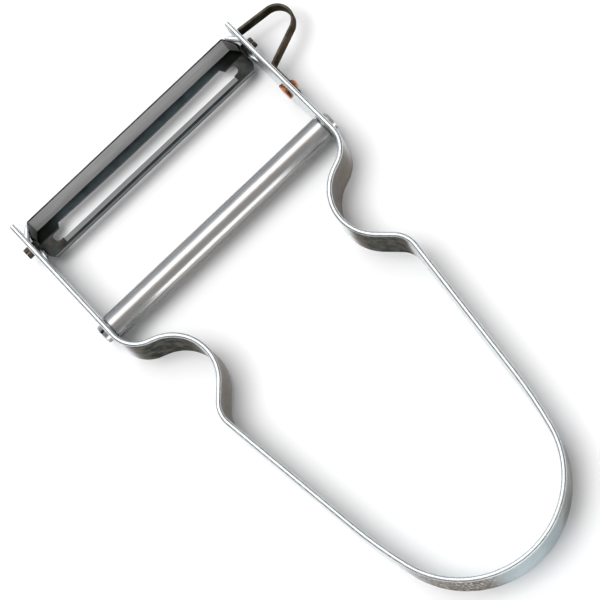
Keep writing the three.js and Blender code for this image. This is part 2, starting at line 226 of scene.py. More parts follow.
# Colours of the other metals, with painted shade in the blade's front corners and painted highlights,
# reflections and shade on the crossbar
BLADE_BLUE = ((0.020, 0.028, 0.031), (0.045, 0.056, 0.060))
BLADE_STAIN = ((0.032, 0.038, 0.038), (0.066, 0.060, 0.054))
BLADE_CORNER_SHADE = (0.006, 0.007, 0.006)
BLADE_GROUND = ((0.45, 0.442, 0.44), (0.53, 0.522, 0.52))
TONGUE_BROWN = ((0.024, 0.018, 0.014), (0.075, 0.055, 0.043))
TIN_WARM = ((0.71, 0.685, 0.665), (0.62, 0.595, 0.575))
TIN_HIGHLIGHT_COOL = ((0.51, 0.53, 0.55), (0.44, 0.455, 0.47))
TIN_REFLECTION = (0.88, 0.87, 0.86)
TIN_SHADE = (0.33, 0.315, 0.305)
TIN_UNDERSIDE_SHADE = (0.19, 0.178, 0.17)
EYE_DARK = ((0.016, 0.020, 0.017), (0.042, 0.044, 0.037))
EYE_BROWN = ((0.055, 0.046, 0.038), (0.12, 0.098, 0.078))
EYE_GRAZING = (0.42, 0.40, 0.37)
COPPER = ((0.66, 0.25, 0.10), (0.20, 0.075, 0.035))

# The studio, with the point that the lamps look at in metres
FLOOR_HALF_WIDTH = 4000
FLOOR_LEVEL = -0.02
PAPER = ((0.93, 0.93, 0.93), (0.94, 0.94, 0.94))
SKY_MIDDLE = ((0.35, 0.35, 0.355), (0.46, 0.46, 0.465))
SKY_SIDES = (0.25, 0.25, 0.255)
SKY_HALO = (0.8, 0.8, 0.8)
SKY_HORIZON = (1.0, 1.0, 1.0)
HALO_TOWARD = (0.0, 0.62, 0.785)
LIT_POINT = Vector((0, 0.06, 0))

# The photo's camera: its distance and turns about the floor's point that it looks at, and the scale there
CAMERA_DISTANCE = 456.705
CAMERA_AZIMUTH = -5.751
CAMERA_TILT = 19.439
CAMERA_ROLL = -38.053
CAMERA_LOOKS_AT = Vector((1.713, 64.22, 0))
CAMERA_CLIP = (0.01, 20)
PIXELS_PER_MM = 5.552
PHOTO_PIXELS = 600
SENSOR_WIDTH = 36


class BentPath:
    """Stations (x, y, heading in radians, length so far) along straight runs and arcs."""

    def __init__(self, x, y, heading):
        self.stations = [(x, y, math.radians(heading), 0.0)]

    def line(self, length, step=None):
        x, y, heading, run = self.stations[-1]
        count = max(1, round(length / step)) if step else 1
        for i in range(1, count + 1):
            d = length * i / count
            self.stations.append((x + d * math.cos(heading), y + d * math.sin(heading), heading, run + d))
        return self

    def arc(self, radius, to_heading):
        x, y, start, run = self.stations[-1]
        turn = math.radians(to_heading) - start
        side = 1 if turn > 0 else -1
        cx = x - side * radius * math.sin(start)
        cy = y + side * radius * math.cos(start)
        count = max(2, math.ceil(abs(math.degrees(turn)) / ARC_STEP))
        for i in range(1, count + 1):
            heading = start + turn * i / count
            self.stations.append(
                (
                    cx + side * radius * math.sin(heading),
                    cy - side * radius * math.cos(heading),
                    heading,
                    run + abs(turn) * radius * i / count,
                )
            )
        return self


def strip_path():
    """The whole strip's centreline, from the left arm's tip round the bow to the right arm's tip."""
    half = BentPath(0, 0, 0)
    half.arc(BOW_RADIUS, BOW_HEADING).arc(SHOULDER_RADIUS, LEG_HEADING).line(LEG_LENGTH, STRIP_STEP)
    half.arc(HIP_RADIUS, HIP_HEADING).line(HIP_RUN)
    half.arc(RECESS_RADIUS, RECESS_HEADING).line(RECESS_RUN)
    half.arc(KNEE_RADIUS, ARM_HEADING).line(ARM_LENGTH, STRIP_STEP)
    right = half.stations
    left = [(-x, y, -heading, -run) for x, y, heading, run in reversed(right[1:])]
    return left + right


STRIP = strip_path()
ARM_X = STRIP[-1][0]
TIP_Y = STRIP[-1][1]
ARM_INNER = ARM_X - STRIP_THICKNESS / 2
ARM_OUTER = ARM_X + STRIP_THICKNESS / 2
MIDDLE_HEIGHT = STRIP_HEIGHT / 2
PIVOT_Y = TIP_Y - PIVOT_FROM_TIP
BAR_Y = TIP_Y - BAR_FROM_TIP
RIVET_Y = TIP_Y - RIVET_FROM_TIP
EYE_Y = TIP_Y - EYE_FROM_TIP


# Meshes
def made(name, data):
    """A new object of a mesh, a lamp or a camera, linked to the scene."""
    obj = bpy.data.objects.new(name, data)
    bpy.context.scene.collection.objects.link(obj)
    return obj


def mesh_of(name, points, faces):
    """A mesh of points in millimetres, its faces turned outwards."""
    mesh = bpy.data.meshes.new(name)
    mesh.from_pydata([Vector(p) * MM for p in points], [], faces)
    shape = bmesh.new()
    shape.from_mesh(mesh)
    bmesh.ops.recalc_face_normals(shape, faces=shape.faces)
    shape.to_mesh(mesh)
    shape.free()
    mesh.update()
    return mesh


def loft(name, rows):
    """A solid skinned over rows of points, each row one closed outline, with flat ends."""
    count = len(rows[0])
    points = [p for row in rows for p in row]
    faces = []
    for i in range(len(rows) - 1):
        a = i * count
        b = a + count
        for j in range(count):
            k = (j + 1) % count
            faces.append((a + j, a + k, b + k, b + j))
    faces.append(tuple(range(count)))
    faces.append(tuple(range((len(rows) - 1) * count, len(rows) * count)))
    return made(name, mesh_of(name, points, faces))


def rounded_section(width, low, high, radius, steps=5):
    """An upright rectangle with rounded corners, as (across, up) points."""
    points = []
    for side, level, start in ((1, -1, -90), (1, 1, 0), (-1, 1, 90), (-1, -1, 180)):
        cx = side * (width / 2 - radius)
        cy = high - radius if level > 0 else low + radius
        for i in range(steps + 1):
            angle = math.radians(start + 90 * i / steps)
            points.append((cx + radius * math.cos(angle), cy + radius * math.sin(angle)))
    return points


def swept(name, stations, sections):
    """A standing strip: each section's (across, up) points set square to its station."""
    rows = []
    for (x, y, heading, _), section in zip(stations, sections):
        nx, ny = -math.sin(heading), math.cos(heading)
        rows.append([(x + a * nx, y + a * ny, z) for a, z in section])
    return loft(name, rows)


def turned(name, profile, y, z, sides):
    """A solid of (x, radius) points turned about a line along X."""
    ring = [2 * math.pi * i / sides for i in range(sides)]
    return loft(name, [[(x, y + r * math.cos(a), z + r * math.sin(a)) for a in ring] for x, r in profile])


def round_cut(y, z, diameter, start, end):
    """A cylinder along X, to cut with."""
    return turned("hole", [(start, diameter / 2), (end, diameter / 2)], y, z, HOLE_SIDES)


def extruded(name, outline, low, high):
    """A plan outline (x, y) raised from low to high."""
    return loft(name, [[(x, y, low) for x, y in outline], [(x, y, high) for x, y in outline]])


def block(name, low, high):
    """A box between two corners."""
    outline = [(low[0], low[1]), (high[0], low[1]), (high[0], high[1]), (low[0], high[1])]
    return extruded(name, outline, low[2], high[2])


def mirror(obj):
    """Turns obj over to the other side of the middle plane."""
    obj.data.transform(Matrix.Scale(-1, 4, (1, 0, 0)))
    obj.data.flip_normals()
    return obj


def boolean(obj, tool, operation):
    """Joins the tool to obj or cuts obj with it, and drops the tool."""
    modifier = obj.modifiers.new("boolean", "BOOLEAN")
    modifier.operation = operation
    modifier.solver = "EXACT"
    modifier.object = tool
    seen = obj.evaluated_get(bpy.context.evaluated_depsgraph_get())
    mesh = bpy.data.meshes.new_from_object(seen)
    obj.modifiers.clear()
    obj.data = mesh
    bpy.data.objects.remove(tool)
    return obj


def finished(obj, node, body, material, edge=0):
    """Smooth shading with true flats, the finish, and the piece's place in the frame."""
    obj.data.materials.clear()
    obj.data.materials.append(material)
    obj.data.shade_smooth()
    obj.data.set_sharp_from_angle(angle=math.radians(CREASE_ANGLE))
    if edge:
        bevel = obj.modifiers.new("edges", "BEVEL")
        bevel.width = edge * MM
        bevel.segments = 2
        bevel.limit_method = "ANGLE"
        bevel.angle_limit = math.radians(BEVEL_ANGLE)
        bevel.use_clamp_overlap = True
    flats = obj.modifiers.new("flats", "WEIGHTED_NORMAL")
    flats.keep_sharp = True
    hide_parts(node)
    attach(obj, body)


# Node materials, in which places are in metres, as in the meshes
class Nodes:
    """Writes the nodes of a material or of the world, up to its shader."""

    def __init__(self, owner, shader="Principled BSDF"):
        owner.use_nodes = True
        self.owner = owner
        self.tree = owner.node_tree
        self.shader = self.tree.nodes[shader]

    def fill(self, socket, value):
        """Links a socket, or sets its value."""
        if isinstance(value, bpy.types.NodeSocket):
            self.tree.links.new(value, socket)
        elif socket.type == "RGBA":
            socket.default_value = (*value, 1)
        else:
            socket.default_value = value

    def put(self, name, value):
        """Gives the shader one of its inputs."""
        self.fill(self.shader.inputs[name], value)

    def add(self, kind, inputs=None, **settings):
        node = self.tree.nodes.new(kind)
        for key, value in settings.items():
            setattr(node, key, value)
        for key, value in (inputs or {}).items():
            self.fill(node.inputs[key], value)
        return node

    def place(self):
        return self.add("ShaderNodeTexCoord").outputs["Object"]

    def normal(self):
        return self.add("ShaderNodeNewGeometry").outputs["Normal"]

    def axis(self, vector, name):
        return self.add("ShaderNodeSeparateXYZ", {0: vector}).outputs[name]

    def dot(self, vector, direction):
        inputs = {0: vector, 1: direction}
        return self.add("ShaderNodeVectorMath", inputs, operation="DOT_PRODUCT").outputs["Value"]

    def stretched(self, vector, scale):
        return self.add("ShaderNodeMapping", {"Vector": vector, "Scale": scale}).outputs["Vector"]

    def noise(self, vector, scale, detail=3, roughness=0.5):
        inputs = {"Vector": vector, "Scale": scale, "Detail": detail, "Roughness": roughness}
        return self.add("ShaderNodeTexNoise", inputs).outputs["Fac"]

    def ramp(self, value, low, high, to_low=0.0, to_high=1.0):
        """A smooth step from to_low, where value is low, to to_high, where it is high."""
        inputs = {"Value": value, "From Min": low, "From Max": high, "To Min": to_low, "To Max": to_high}
        node = self.add("ShaderNodeMapRange", inputs, clamp=True, interpolation_type="SMOOTHSTEP")
        return node.outputs["Result"]

    def zone(self, along, start, end):
        """A smooth step from 0 to 1 between two places along an axis, in millimetres."""
        return self.ramp(along, start * MM, end * MM)

    def math(self, operation, a, b=0.0):
        return self.add("ShaderNodeMath", {0: a, 1: b}, operation=operation).outputs["Value"]

    def absolute(self, value):
        return self.math("ABSOLUTE", value)

    def plus(self, a, b):
        return self.math("ADD", a, b)

    def minus(self, a, b):
        return self.math("SUBTRACT", a, b)

    def times(self, a, b):
        return self.math("MULTIPLY", a, b)

    def larger(self, a, b):
        return self.math("MAXIMUM", a, b)

    def mix(self, factor, a, b):
        """From colour a, where factor is 0, to colour b, where it is 1."""
        node = self.add("ShaderNodeMix", {"Factor": factor}, data_type="RGBA")
        sockets = [socket for socket in node.inputs if socket.type == "RGBA"]
        self.fill(sockets[0], a)
        self.fill(sockets[1], b)
        return next(socket for socket in node.outputs if socket.type == "RGBA")

    def bump(self, height, strength, distance):
        inputs = {"Height": height, "Strength": strength, "Distance": distance}
        self.put("Normal", self.add("ShaderNodeBump", inputs).outputs["Normal"])


def aluminium():
    """Bright rolled aluminium with painted reflections and shade: dark waists, a blue and brown bow."""
    n = Nodes(bpy.data.materials.new("handle_aluminium"))
    place = n.place()
    normal = n.normal()
    y = n.axis(place, "Y")
    z = n.axis(place, "Z")
    cloud = n.noise(place, 260, 4)
    mottle = n.noise(place, 650, 5, 0.6)
    grain = n.noise(place, 1500, 4, 0.7)
    dots = n.noise(place, 1900, 1)
    dimples = n.noise(place, 420, 2)
    streaks = n.noise(n.stretched(place, (1, 1, 14)), 900, 3)
    rise = n.zone(z, *STRIP_RISE)
    upright = n.ramp(n.absolute(n.axis(normal, "Z")), 0.55, 0.2)
    ragged = n.times(n.minus(cloud, 0.5), 0.1)
    left_rear = n.plus(n.dot(normal, LEFT_REAR), ragged)
    right_rear = n.plus(n.dot(normal, RIGHT_REAR), ragged)
    bow_left = n.plus(n.dot(normal, BOW_LEFT), ragged)
    tint = n.mix(n.ramp(cloud, 0.25, 0.75), *CLEAN)

    # The bow gets a painted blue reflection, darker with height, and painted grey shade to both sides; on
    # the left, pits darkened by painted shade, with painted glints; on the right, painted brown shade and a
    # dark painted reflection
    bow = n.times(n.zone(y, *BOW_START), upright)
    beside = n.larger(n.ramp(right_rear, 0.66, 0.8), n.ramp(bow_left, 0.74, 0.83))
    pits_and_shade = n.times(bow, n.ramp(bow_left, 0.82, 0.945))
    right_shade = n.times(bow, n.ramp(right_rear, 0.87, 0.95))
    reflection_band = n.times(n.ramp(right_rear, 0.90, 0.96), n.ramp(right_rear, 0.998, 0.965))
    pits = n.mix(n.ramp(grain, 0.4, 0.6), *PITS_IN_SHADE)
    pits = n.mix(n.ramp(dots, 0.6, 0.66), pits, GLINT)
    tint = n.mix(bow, tint, n.mix(rise, *BLUE_REFLECTION))
    tint = n.mix(n.times(bow, beside), tint, n.mix(rise, *SHADED))
    tint = n.mix(pits_and_shade, tint, pits)
    tint = n.mix(right_shade, tint, n.mix(rise, *BOW_BROWN))
    tint = n.mix(n.times(bow, reflection_band), tint, DARK_REFLECTION)

    # The waists get painted brown shade, darker with height, on the faces turned left and right, but not on
    # a low rim of the right-turned faces, which stays light, and a painted black reflection where they face
    # left
    waist = n.times(n.times(n.zone(y, *WAIST_START), n.zone(y, *WAIST_END)), upright)
    left_shade = n.ramp(left_rear, 0.62, 0.8)
    faces_right = n.ramp(right_rear, 0.5, 0.8)
    shade_and_wear = n.times(waist, n.larger(left_shade, faces_right))
    unshaded_rim = n.times(n.times(n.zone(z, *UNSHADED_RIM_RISE), n.zone(y, *UNSHADED_RIM_END)), faces_right)
    patch = n.ramp(grain, 0.3, 0.7)
    brown = n.mix(n.zone(z, *WAIST_RISE), n.mix(patch, *LOW_BROWN), n.mix(patch, *HIGH_BROWN))
    tint = n.mix(n.times(shade_and_wear, n.minus(1.0, unshaded_rim)), tint, brown)
    core = n.times(waist, n.ramp(left_rear, 0.76, 0.91))
    black = n.mix(n.ramp(mottle, 0.38, 0.62), *BLACK_REFLECTION)
    n.put("Base Color", n.mix(core, tint, black))
    # The painted shade and the painted black also dim the reflection at grazing angles
    grazing = n.mix(n.larger(n.times(waist, left_shade), pits_and_shade), CLEAN_GRAZING, SHADED_GRAZING)
    n.put("Specular Tint", n.mix(core, grazing, BLACK_GRAZING))

    # Rolling streaks and faint dimples all over, duller where the waists carry painted shade and on the
    # pits, deep pits on the bow
    polish = n.ramp(streaks, 0.25, 0.75, 0.2, 0.32)
    n.put("Roughness", n.plus(polish, n.times(n.larger(shade_and_wear, pits_and_shade), 0.16)))
    n.put("Metallic", 1)
    rolled = n.plus(streaks, n.times(dimples, 0.3))
    n.bump(n.plus(rolled, n.times(grain, n.times(pits_and_shade, 9.0))), strength=0.12, distance=0.0001)
    return n.owner


def dark_steel():
    """Blued strip steel for the blade, its wall and edges ground to a matt grey, its tongues brown, with
    near-black painted shade in the front corners at its ends.
    """
    n = Nodes(bpy.data.materials.new("blade_steel"))
    place = n.place()
    ground = n.add("ShaderNodeAttribute", attribute_name=GROUND_MARK).outputs["Fac"]
    reach = n.absolute(n.axis(place, "X"))
    cloud = n.noise(place, 300, 4)
    mottle = n.noise(place, 900, 5)
    grain = n.noise(place, 1600, 2)
    lines = n.noise(n.stretched(place, (0.06, 1, 1)), 2600, 2)
    behind = n.zone(n.axis(place, "Y"), PIVOT_Y + BLADE_REAR[0], PIVOT_Y + BLADE_REAR[1])
    stain = n.mix(n.ramp(mottle, 0.3, 0.7), *BLADE_STAIN)
    dark = n.mix(n.ramp(cloud, 0.3, 0.7), *BLADE_BLUE)
    # At the ends, near-black painted shade in the front corners and a stain behind
    dark = n.mix(n.zone(reach, *BLADE_ENDS), dark, n.mix(behind, BLADE_CORNER_SHADE, stain))
    brown = n.mix(n.ramp(grain, 0.35, 0.65), *TONGUE_BROWN)
    dark = n.mix(n.zone(reach, *TONGUE_START), dark, brown)
    bright = n.mix(n.ramp(lines, 0.3, 0.7), *BLADE_GROUND)
    n.put("Base Color", n.mix(ground, dark, bright))
    n.put("Roughness", n.plus(n.ramp(cloud, 0.2, 0.8, 0.26, 0.4), n.times(ground, 0.25)))
    n.put("Metallic", n.minus(1.0, n.times(ground, 0.75)))
    n.bump(lines, strength=0.1, distance=0.00005)
    return n.owner


def bar_steel():
    """Rolled tinplate with drawing lines along the bar, cooler in front as a painted highlight, bright
    behind as a painted reflection, and painted shade below and along the front edge.
    """
    n = Nodes(bpy.data.materials.new("crossbar_steel"))
    place = n.place()
    normal = n.normal()
    up = n.axis(normal, "Z")
    front = n.axis(normal, "Y")
    lines = n.noise(n.stretched(place, (0.03, 1, 1)), 1500, 3)
    grain = n.noise(place, 1700, 2)
    patch = n.ramp(n.noise(place, 200, 3), 0.3, 0.7)
    # A painted highlight tint in front, a painted reflection behind, and painted shade below, underneath
    # and along the front edge, but not on the end faces
    tint = n.mix(n.ramp(front, 0.0, 0.25), n.mix(patch, *TIN_WARM), n.mix(patch, *TIN_HIGHLIGHT_COOL))
    tint = n.mix(n.ramp(front, -0.6, -0.74), tint, TIN_REFLECTION)
    tube = n.ramp(n.absolute(n.axis(normal, "X")), 0.6, 0.2)
    lower_shade = n.larger(n.ramp(up, 0.52, 0.42), n.ramp(front, 0.55, 0.72, 0.0, 0.85))
    tint = n.mix(n.times(lower_shade, tube), tint, TIN_SHADE)
    tint = n.mix(n.times(n.ramp(up, 0.3, 0.05), tube), tint, TIN_UNDERSIDE_SHADE)
    n.put("Base Color", tint)
    n.put("Roughness", n.ramp(lines, 0.3, 0.7, 0.24, 0.32))
    n.put("Metallic", 1)
    n.bump(n.plus(lines, grain), strength=0.1, distance=0.00006)
    return n.owner


def eye_steel():
    """Dark strip steel, brown along its edges from wear, and brown on the faces that turn towards +X."""
    n = Nodes(bpy.data.materials.new("eye_remover_steel"))
    normal = n.normal()
    cloud = n.noise(n.place(), 500, 4)
    dark = n.mix(n.ramp(cloud, 0.3, 0.7), *EYE_DARK)
    brown = n.mix(n.ramp(cloud, 0.35, 0.65), *EYE_BROWN)
    edge = n.ramp(n.absolute(n.axis(normal, "Z")), 0.3, 0.8)
    faces_right = n.ramp(n.axis(normal, "X"), 0.1, 0.32, 0.0, 0.75)
    n.put("Base Color", n.mix(n.larger(edge, faces_right), dark, brown))
    n.put("Roughness", n.ramp(cloud, 0.2, 0.8, 0.25, 0.4))
    n.put("Metallic", 1)
    n.put("Specular Tint", EYE_GRAZING)
    n.bump(cloud, strength=0.1, distance=0.0001)
    return n.owner


def copper():
    """Copper, browned in patches."""
    n = Nodes(bpy.data.materials.new("rivet_copper"))
    cloud = n.noise(n.place(), 900, 4)
    n.put("Base Color", n.mix(n.ramp(cloud, 0.35, 0.7), *COPPER))
    n.put("Roughness", n.ramp(cloud, 0.2, 0.8, 0.25, 0.42))
    n.put("Metallic", 1)
    n.bump(cloud, strength=0.15, distance=0.0001)
    return n.owner


# The bent strip
def tab_window(tab):
    """The hole that a stop tab leaves in the right arm."""
    root = TIP_Y - tab["root_from_tip"]
    return block(
        "window",
        (ARM_INNER - CUT_MARGIN, root, tab["bottom"]),
        (ARM_OUTER + CUT_MARGIN, root + tab["length"] + LANCE_GAP, tab["bottom"] + tab["height"]),
    )


def stop_tab(tab):
    """A tongue lanced out of the right arm, bent inwards about its rear end and drawn thin at its tip."""
    root = TIP_Y - tab["root_from_tip"]
    path = BentPath(ARM_X, root - TAB_ROOT_OVERLAP, ARM_HEADING).line(TAB_ROOT_OVERLAP)
    path.arc(TAB_BEND_RADIUS, ARM_HEADING + tab["lean"])
    path.line(tab["length"] - TAB_BEND_RADIUS * math.radians(tab["lean"]), TAB_STEP)
    low = tab["bottom"] + TAB_SIDE_GAP
    high = tab["bottom"] + tab["height"] - TAB_SIDE_GAP
    whole = path.stations[-1][3]
    sections = []
    for _, _, _, run in path.stations:
        thick = TAB_ROOT_THICKNESS - (TAB_ROOT_THICKNESS - TAB_TIP_THICKNESS) * (run / whole) ** 2
        sections.append(rounded_section(thick, low, high, TAB_EDGE_ROUND, 3))
    return swept("tab", path.stations, sections)


def plain_strip():
    """The strip with its rounded edges and its eased tips, before its holes and tabs."""
    ease = STRIP_TIP_EASE
    section = rounded_section(STRIP_THICKNESS, 0, STRIP_HEIGHT, STRIP_EDGE_ROUND)
    tip = rounded_section(STRIP_THICKNESS - 2 * ease, ease, STRIP_HEIGHT - ease, STRIP_EDGE_ROUND - ease)
    near = [(x, y - ease, heading, run) for x, y, heading, run in (STRIP[0], STRIP[-1])]
    stations = [STRIP[0], near[0], *STRIP[1:-1], near[1], STRIP[-1]]
    return swept("handle_strip_visual", stations, [tip] + [section] * (len(stations) - 2) + [tip])


def handle_strip():
    """The strip with its holes and its stop tabs."""
    strip = plain_strip()
    both_arms = [
        (PIVOT_Y, PIVOT_HEIGHT, TONGUE_WIDTH + RUNNING_CLEARANCE),
        (BAR_Y, BAR_HEIGHT, NECK_DIAMETER + FIT_CLEARANCE),
    ]
    right_arm = [*both_arms, (RIVET_Y, MIDDLE_HEIGHT, RIVET_SHANK + FIT_CLEARANCE)]
    for side, holes in ((1, right_arm), (-1, both_arms)):
        for y, z, diameter in holes:
            ends = side * (ARM_INNER - CUT_MARGIN), side * (ARM_OUTER + CUT_MARGIN)
            boolean(strip, round_cut(y, z, diameter, *ends), "DIFFERENCE")
        for tab in (FRONT_TAB, REAR_TAB):
            for tool, operation in ((tab_window(tab), "DIFFERENCE"), (stop_tab(tab), "UNION")):
                boolean(strip, tool if side > 0 else mirror(tool), operation)
    return strip


# The swivel blade
EAR_X = ARM_INNER - RUNNING_CLEARANCE - BLADE_THICKNESS / 2
WEB_REAR = FOLD_AHEAD - WEB_WIDTH
SLOT_FRONT = FOLD_AHEAD - FRONT_BAR
SLOT_REAR = SLOT_FRONT - SLOT_WIDTH


def web_top(y):
    """Height of the web's upper face at y, about the pivot."""
    return -FOLD_BELOW + BLADE_THICKNESS / 2 + (FOLD_AHEAD - y) * math.tan(math.radians(WEB_RISE))


def rim_stations():
    """Plan line of the rim: an ear, its splay, the corner and the front, then the same mirrored."""
    splay = 90 + EAR_SPLAY
    bends = BentPath(0, 0, 90).arc(EAR_BEND_RADIUS, splay).arc(CORNER_RADIUS, 180)
    slant = (FOLD_AHEAD - EAR_STRAIGHT - bends.stations[-1][1]) / math.cos(math.radians(EAR_SPLAY))
    half = BentPath(EAR_X, 0, 90).line(EAR_STRAIGHT, RIM_STEP).arc(EAR_BEND_RADIUS, splay)
    half.line(slant, RIM_STEP).arc(CORNER_RADIUS, 180)
    right = [(x, y, heading) for x, y, heading, _ in half.stations]
    return right + [(-x, y, 2 * math.pi - heading) for x, y, heading in reversed(right)]


def rim_row(station, low, high, forward):
    """One section of the rim: round below at the fold, ground thin along its top."""
    x, y, heading = station
    half = BLADE_THICKNESS / 2
    k = min(1, (high - low) / FULL_RIM_HEIGHT)
    section = [
        (-half, low + FOLD_ROUND * k),
        (-half + FOLD_ROUND_INSET * k, low + FOLD_ROUND_INSET * k),
        (-half + FOLD_ROUND * k, low),
        (half, low),
        (half, high - WALL_TOP_EASE * k),
        (half - WALL_TOP_EASE, high),
        (half - WALL_TOP_LAND, high),
        (-half, high - WALL_TOP_GRIND * k),
    ]
    row = []
    for across, level in section:
        shift = forward * (level - low) / (high - low)
        row.append((x - across * math.sin(heading), y + across * math.cos(heading) + shift, level))
    return row


def rim():
    """The wall along the front, leaning forward, and the upright ears, round about the pivot."""
    low = -FOLD_BELOW - BLADE_THICKNESS / 2 - RIM_BELOW_WEB
    high = WALL_HEIGHT - FOLD_BELOW
    lean = (high - low) * math.tan(math.radians(WALL_LEAN))
    rows = []
    for station in rim_stations():
        share = max(0, (station[1] - EAR_STRAIGHT) / (FOLD_AHEAD - EAR_STRAIGHT))
        rows.append(rim_row(station, low, high, lean * share))
    round_end = []
    for degrees in EAR_END_ANGLES:
        angle = math.radians(degrees)
        round_end.append((-EAR_RADIUS * math.cos(angle), EAR_RADIUS * math.sin(angle)))
    start = [rim_row((EAR_X, y, math.pi / 2), -reach, reach, 0) for y, reach in round_end]
    finish = [rim_row((-EAR_X, y, 1.5 * math.pi), -reach, reach, 0) for y, reach in reversed(round_end)]
    return loft("swivel_blade_visual", start + rows + finish)


def slot_outline():
    """Plan of the slot: a bowed front lip, a round lobe at each end and a straight rear edge."""
    lip = []
    for i in range(2 * LIP_HALF_STEPS + 1):
        x = LIP_HALF_LENGTH * (i / LIP_HALF_STEPS - 1)
        lip.append((x, SLOT_FRONT + LIP_BOW * (x / LIP_HALF_LENGTH) ** 2))
    lobe_front = SLOT_FRONT - LOBE_STEP
    right = [(LIP_HALF_LENGTH + LIP_RUNOUT, lobe_front)]
    centre_x = LOBE_HALF_LENGTH - LOBE_RADIUS
    for centre_y, start in ((lobe_front - LOBE_RADIUS, 90), (SLOT_REAR + LOBE_RADIUS, 0)):
        for i in range(LOBE_CORNER_STEPS + 1):
            a = math.radians(start - 90 * i / LOBE_CORNER_STEPS)
            right.append((centre_x + LOBE_RADIUS * math.cos(a), centre_y + LOBE_RADIUS * math.sin(a)))
    return lip + right + [(-x, y) for x, y in reversed(right)]


def wedge(name, start, drop, side, half_length):
    """A prism above a plane that leaves the web's upper face at start and falls by drop per millimetre."""
    before, after, height = -WEDGE["before"], WEDGE["after"], WEDGE["height"]
    section = []
    for along, lift in ((before, 0), (after, 0), (after, height), (before, height)):
        y = start + side * along
        section.append((y, web_top(y) - drop * along + lift))
    return loft(name, [[(x, y, z) for y, z in section] for x in (-half_length, half_length)])


def web():
    """The sloping tray with its slot, its ground cutting edge and its eased rear edge."""
    outline = [(x, y) for x, y, _ in rim_stations()]
    outline += [
        (-EAR_X, WEB_REAR + REAR_CORNER["depth"]),
        (REAR_CORNER["inset"] - EAR_X, WEB_REAR),
        (EAR_X - REAR_CORNER["inset"], WEB_REAR),
        (EAR_X, WEB_REAR + REAR_CORNER["depth"]),
    ]
    plate = loft("web", [
        [(x, y, web_top(y) - BLADE_THICKNESS) for x, y in outline],
        [(x, y, web_top(y)) for x, y in outline],
    ])
    boolean(plate, extruded("slot", slot_outline(), *WEB_CUT_LEVELS), "DIFFERENCE")
    drop = (BLADE_THICKNESS - EDGE_LAND) / BEVEL_WIDTH
    boolean(plate, wedge("bevel", SLOT_REAR - BEVEL_WIDTH, drop, 1, BEVEL_HALF_LENGTH), "DIFFERENCE")
    easing = wedge("easing", WEB_REAR + REAR_EASE, REAR_EASE_DROP, -1, EAR_X)
    return boolean(plate, easing, "DIFFERENCE")


def tongue():
    """The split tongue of the right ear, which pivots in the arm."""
    half = BLADE_THICKNESS / 2
    tip = ARM_OUTER + TONGUE_PROUD
    rows = []
    for x, taper in ((EAR_X, 0), (tip - TONGUE_TIP_LENGTH, 0), (tip, TONGUE_TIP_TAPER)):
        level = half - taper / 2
        section = rounded_section(TONGUE_WIDTH - taper, -level, level, TONGUE_EDGE_ROUND, 3)
        rows.append([(x, y, z) for y, z in section])
    split = block(
        "split",
        (tip - TONGUE_SPLIT_DEPTH, -TONGUE_SPLIT / 2, -CUT_MARGIN),
        (tip + CUT_MARGIN, TONGUE_SPLIT / 2, CUT_MARGIN),
    )
    return boolean(loft("tongue", rows), split, "DIFFERENCE")


def ground_share(x, y, z, facing):
    """How bright a face of the blade is ground, from its middle about the pivot and its direction."""
    margin = GROUND_MARGIN
    on_wall = y > FOLD_AHEAD - BLADE_THICKNESS
    on_bevel = SLOT_REAR - BEVEL_WIDTH - margin < y < SLOT_REAR + margin
    on_rear = y < WEB_REAR + REAR_EASE + margin
    on_ear = abs(x) > EAR_SPLAY_X and y > EAR_STRAIGHT and z > EAR_FOOT
    inward = -facing.x * math.copysign(1, x)
    if on_wall and facing.y < -0.85 and facing.z > 0.2:
        return WALL_GROUND
    if on_bevel and facing.y > 0.3 and facing.z > 0.6:
        return BEVEL_GROUND
    if on_rear and facing.y < -0.3 and facing.z > 0.5:
        return REAR_GROUND
    if on_ear and inward > 0.5:
        return EAR_GROUND
    return 0.0


def swivel_blade():
    """The stamped blade at its place between the arms, with its ground faces marked."""
    blade = boolean(rim(), web(), "UNION")
    boolean(blade, tongue(), "UNION")
    boolean(blade, mirror(tongue()), "UNION")
    mesh = blade.data
    mesh.transform(Matrix.Translation((0, PIVOT_Y * MM, PIVOT_HEIGHT * MM)))
    mark = mesh.attributes.new(GROUND_MARK, "FLOAT", "FACE")
    for face in mesh.polygons:
        x, y, z = face.center / MM
        mark.data[face.index].value = ground_share(x, y - PIVOT_Y, z - PIVOT_HEIGHT, face.normal)
    return blade


